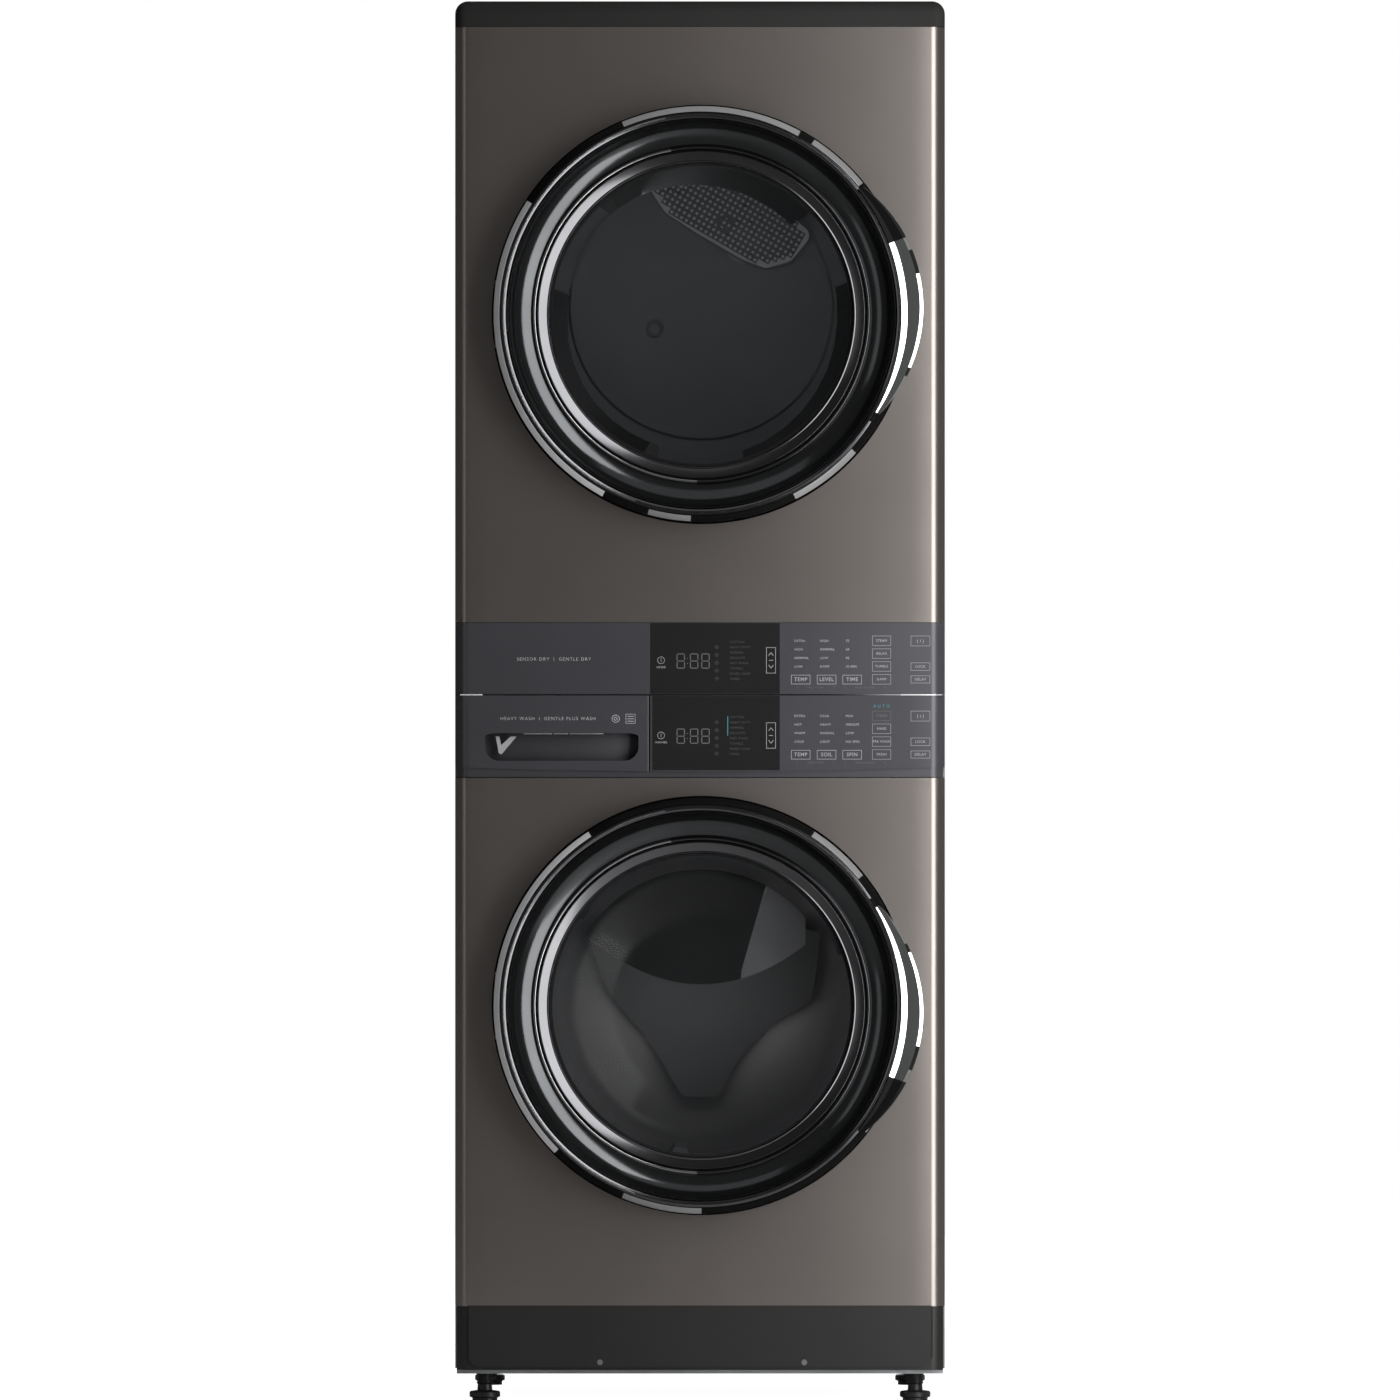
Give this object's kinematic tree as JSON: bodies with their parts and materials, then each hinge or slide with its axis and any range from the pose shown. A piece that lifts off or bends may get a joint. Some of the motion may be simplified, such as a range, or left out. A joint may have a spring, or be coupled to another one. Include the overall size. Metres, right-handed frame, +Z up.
{
  "type": "washer dryer stack",
  "caption": "Full-size laundry tower: front-loading washer below, tumble dryer above, round glass doors with crescent grips, a control band between them.",
  "frame": {"origin": "on the floor, under the middle of the cabinet's bounding box", "axes": "+Z up, -Y is the front with the doors, +X is the viewer's right"},
  "size_m": [0.686, 0.8, 1.963],
  "materials": {
    "titanium_steel": "satin warm grey metallic paint",
    "charcoal_plastic": "dark moulded top and toe",
    "console_plastic": "dark violet grey metallic fascia",
    "display_black": "black gloss window",
    "galvanised": "plain galvanised sheet",
    "drum_steel": "brushed stainless",
    "bright_trim": "bright satin chrome",
    "dark_gloss": "dark gloss funnel",
    "tinted_glass": "dark tinted glass",
    "liner_plastic": "dark grey moulded liner",
    "grip_metal": "dark satin grip face",
    "grey_rubber": "grey door seal",
    "black_rubber": "black rubber",
    "white_plastic": "white moulded plastic",
    "grey_plastic": "mid grey moulded plastic",
    "tub_plastic": "light grey filled plastic",
    "cast_iron": "raw casting",
    "motor_alloy": "cast motor body",
    "machined_steel": "turned steel"
  },
  "bodies": {
    "cabinet": {"base_frame": "galvanised", "left_side_panel": "titanium_steel", "right_side_panel": "titanium_steel", "rear_panels": "galvanised", "top_panel": "charcoal_plastic", "dryer_front_panel": "titanium_steel", "washer_front_panel": "titanium_steel", "toe_panel": "charcoal_plastic", "dryer_console": "console_plastic", "washer_console": "console_plastic", "display_windows": "display_black", "middle_shelf": "galvanised", "panel_screws": "machined_steel", "door_hardware": "machined_steel", "door_gasket": "grey_rubber", "tub_springs": "machined_steel", "damper_cylinders": "machined_steel", "dispenser_housing": "white_plastic", "water_connections": "white_plastic", "drain_pump": "white_plastic", "dryer_front_bulkhead": "galvanised", "dryer_rear_bulkhead": "galvanised", "dryer_air_grille": "grey_plastic", "heater_housing": "galvanised", "blower_housing": "white_plastic", "dryer_motor": "motor_alloy", "exhaust_duct": "galvanised", "dryer_belt": "black_rubber"},
    "dryer_door": {"dryer_door_ring": "bright_trim", "dryer_door_funnel": "dark_gloss", "dryer_door_bezel": "bright_trim", "dryer_door_liner": "liner_plastic", "dryer_door_handle": "grip_metal", "dryer_door_hinge": "machined_steel", "dryer_door_glass": "tinted_glass"},
    "washer_door": {"washer_door_ring": "bright_trim", "washer_door_funnel": "dark_gloss", "washer_door_bezel": "bright_trim", "washer_door_liner": "liner_plastic", "washer_door_handle": "grip_metal", "washer_door_hinge": "machined_steel", "washer_door_glass": "tinted_glass"},
    "drawer": {"detergent_drawer": "console_plastic"},
    "tub": {"washer_tub": "tub_plastic", "counterweights": "cast_iron", "washer_motor_stator": "motor_alloy", "damper_rods": "machined_steel"},
    "wash_drum": {"washer_drum": "drum_steel", "washer_drum_lifters": "grey_plastic", "washer_drum_shaft": "machined_steel"},
    "tumble_drum": {"dryer_drum": "drum_steel", "dryer_drum_vanes": "white_plastic"},
    "motor_rotor": {"dryer_motor_rotor": "machined_steel"},
    "roller_left": {"drum_roller_left": "black_rubber"},
    "roller_right": {"drum_roller_right": "black_rubber"},
    "filter": {"lint_filter": "grey_plastic"},
    "foot_front_left": {"leveling_foot_front_left": "machined_steel"},
    "foot_front_right": {"leveling_foot_front_right": "machined_steel"},
    "foot_rear_left": {"leveling_foot_rear_left": "machined_steel"},
    "foot_rear_right": {"leveling_foot_rear_right": "machined_steel"}
  },
  "joints": [
    {"name": "dryer_door_swing", "type": "hinge", "parent": "cabinet", "child": "dryer_door", "pos_m": [-0.28, -0.366, 1.524], "axis": [0, 0, -1], "range_deg": [0, 110]},
    {"name": "washer_door_swing", "type": "hinge", "parent": "cabinet", "child": "washer_door", "pos_m": [-0.28, -0.366, 0.5565], "axis": [0, 0, -1], "range_deg": [0, 110]},
    {"name": "drawer_slide", "type": "slide", "parent": "cabinet", "child": "drawer", "axis": [0, -1, 0], "range_m": [0, 0.19]},
    {"name": "tub_bounce", "type": "slide", "parent": "cabinet", "child": "tub", "axis": [0, 0, 1], "range_m": [-0.006, 0.006], "stiffness_N_per_m": 20000, "springref_m": 0.026, "deforming": ["tub_springs", "door_gasket"]},
    {"name": "wash_drum_spin", "type": "hinge", "parent": "tub", "child": "wash_drum", "pos_m": [0.002, 0, 0.5565], "axis": [0, -1, 0], "continuous": true},
    {"name": "tumble_drum_spin", "type": "hinge", "parent": "cabinet", "child": "tumble_drum", "pos_m": [0.002, 0, 1.524], "axis": [0, -1, 0], "continuous": true},
    {"name": "motor_spin", "type": "hinge", "parent": "cabinet", "child": "motor_rotor", "pos_m": [0.12, 0, 1.092], "axis": [0, -1, 0], "continuous": true},
    {"name": "filter_lift", "type": "slide", "parent": "cabinet", "child": "filter", "axis": [0, 0, 1], "range_m": [0, 0.18]},
    {"name": "roller_left_spin", "type": "hinge", "parent": "cabinet", "child": "roller_left", "pos_m": [-0.21862, 0.208, 1.24162], "axis": [0, -1, 0], "continuous": true},
    {"name": "roller_right_spin", "type": "hinge", "parent": "cabinet", "child": "roller_right", "pos_m": [0.22262, 0.208, 1.24162], "axis": [0, -1, 0], "continuous": true},
    {"name": "foot_front_left_height", "type": "slide", "parent": "cabinet", "child": "foot_front_left", "axis": [0, 0, 1], "range_m": [-0.012, 0.012]},
    {"name": "foot_front_right_height", "type": "slide", "parent": "cabinet", "child": "foot_front_right", "axis": [0, 0, 1], "range_m": [-0.012, 0.012]},
    {"name": "foot_rear_left_height", "type": "slide", "parent": "cabinet", "child": "foot_rear_left", "axis": [0, 0, 1], "range_m": [-0.012, 0.012]},
    {"name": "foot_rear_right_height", "type": "slide", "parent": "cabinet", "child": "foot_rear_right", "axis": [0, 0, 1], "range_m": [-0.012, 0.012]}
  ],
  "couplings": [
    {"joint": "motor_spin", "follows": "tumble_drum_spin", "ratio": 20},
    {"joint": "roller_left_spin", "follows": "tumble_drum_spin", "ratio": -8.4211},
    {"joint": "roller_right_spin", "follows": "tumble_drum_spin", "ratio": -8.4211}
  ]
}
